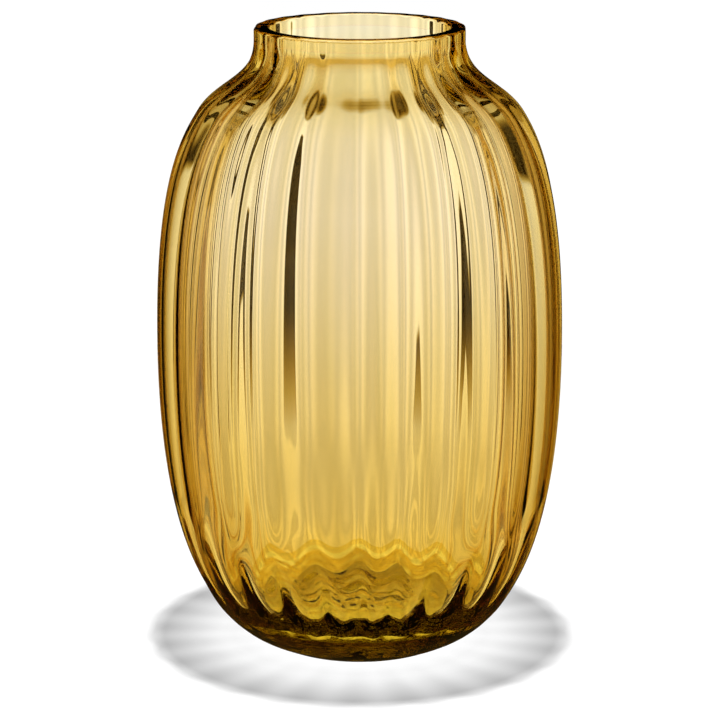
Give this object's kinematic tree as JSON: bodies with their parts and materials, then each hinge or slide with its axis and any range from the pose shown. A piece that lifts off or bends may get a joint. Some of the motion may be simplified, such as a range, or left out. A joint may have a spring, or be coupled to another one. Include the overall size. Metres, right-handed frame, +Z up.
{
  "type": "glass vase",
  "caption": "Tall rounded amber glass vase with soft vertical ribs, a short neck, a flat polished lip and a thick solid base, open at the top to hold cut flowers.",
  "frame": {"origin": "centre of the foot, on the plane that the vase stands on", "axes": "+Z up along the vase's axis, through the mouth; +X and +Y pass through rib crests"},
  "size_m": [0.166, 0.166, 0.255],
  "materials": {
    "amber_glass": "clear amber glass, smooth and glossy",
    "amber_ribbed_glass": "clear amber glass, glossy, with blown ribs and fine vertical waves",
    "amber_base_glass": "clear amber glass, darker because it is thick",
    "amber_lip_glass": "clear amber glass, ground flat and fire-polished"
  },
  "bodies": {
    "root": {"base_pad": "amber_base_glass", "inner_bubble": "amber_glass", "polished_lip": "amber_lip_glass", "ribbed_gather": "amber_ribbed_glass"}
  },
  "joints": []
}
